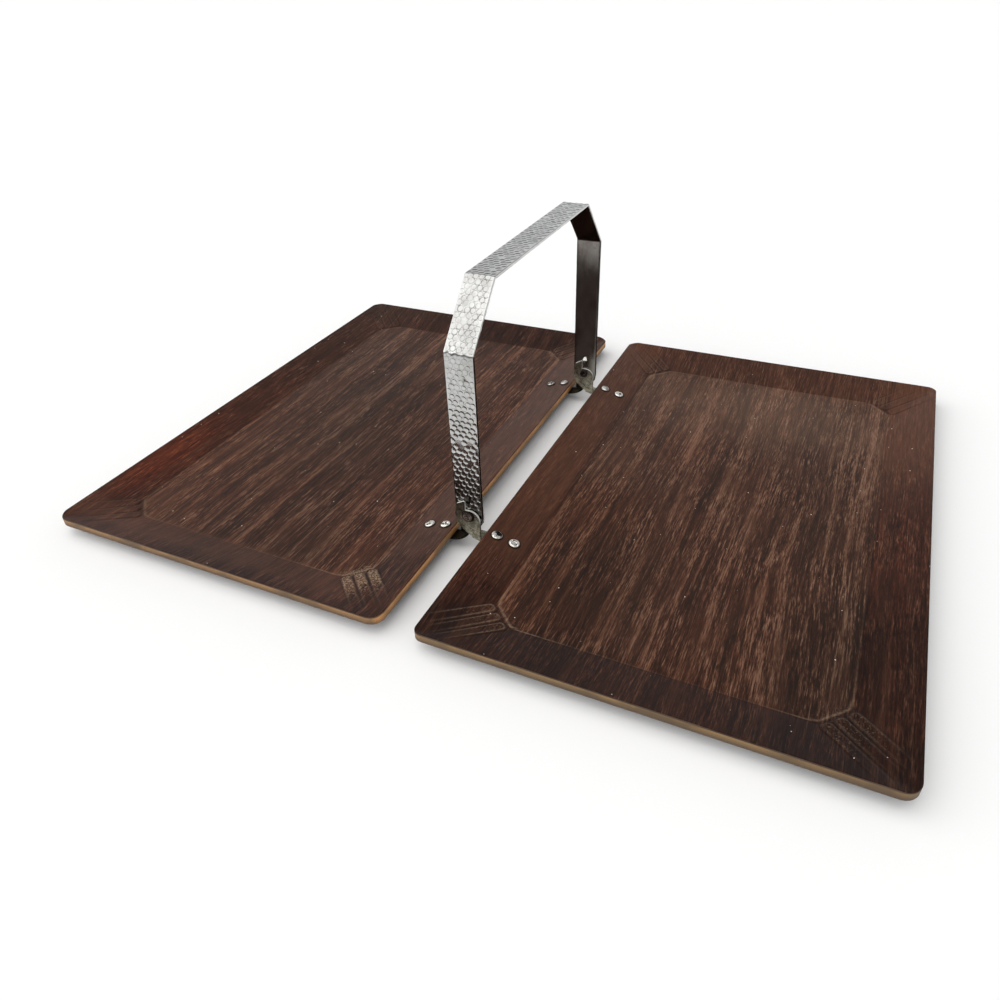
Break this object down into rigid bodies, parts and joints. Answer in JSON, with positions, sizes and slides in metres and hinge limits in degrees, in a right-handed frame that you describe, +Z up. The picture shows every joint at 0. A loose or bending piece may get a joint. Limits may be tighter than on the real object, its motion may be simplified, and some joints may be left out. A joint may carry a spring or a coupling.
{
  "type": "folding serving tray",
  "caption": "Moulded wood serving trays hinged on a hammered steel strip handle; they fold up around the handle, and its stops hold them level when carried.",
  "frame": {"origin": "under the middle of the gap between the two open trays, at the height of their flat undersides", "axes": "+X across the two open trays towards the right tray, +Y along the trays and along the fold axis, +Z up through the handle"},
  "size_m": [0.4466, 0.34, 0.1422],
  "materials": {
    "walnut_ply": "satin lacquer over dark walnut veneer, bare tan ply edge",
    "plated_strip": "plated steel, hammered outer face, smooth inner face",
    "bracket_steel": "dulled plated steel",
    "pivot_steel": "dulled plated steel",
    "rivet_steel": "bright plated steel"
  },
  "bodies": {
    "handle": {"handle_strip": "plated_strip", "front_stop_key": "bracket_steel", "rear_stop_key": "bracket_steel", "front_pivot_rivet": "pivot_steel", "rear_pivot_rivet": "pivot_steel"},
    "right_tray": {"right_tray_panel": "walnut_ply", "right_front_bracket": "bracket_steel", "right_rear_bracket": "bracket_steel", "right_front_rivet_1": "rivet_steel", "right_front_rivet_2": "rivet_steel", "right_rear_rivet_1": "rivet_steel", "right_rear_rivet_2": "rivet_steel"},
    "left_tray": {"left_tray_panel": "walnut_ply", "left_front_bracket": "bracket_steel", "left_rear_bracket": "bracket_steel", "left_front_rivet_1": "rivet_steel", "left_front_rivet_2": "rivet_steel", "left_rear_rivet_1": "rivet_steel", "left_rear_rivet_2": "rivet_steel"}
  },
  "joints": [
    {"name": "right_fold", "type": "hinge", "parent": "handle", "child": "right_tray", "pos_m": [0, 0, 0.0209], "axis": [0, -1, 0], "range_deg": [0, 92]},
    {"name": "left_fold", "type": "hinge", "parent": "handle", "child": "left_tray", "pos_m": [0, 0, 0.0209], "axis": [0, 1, 0], "range_deg": [0, 92]}
  ]
}
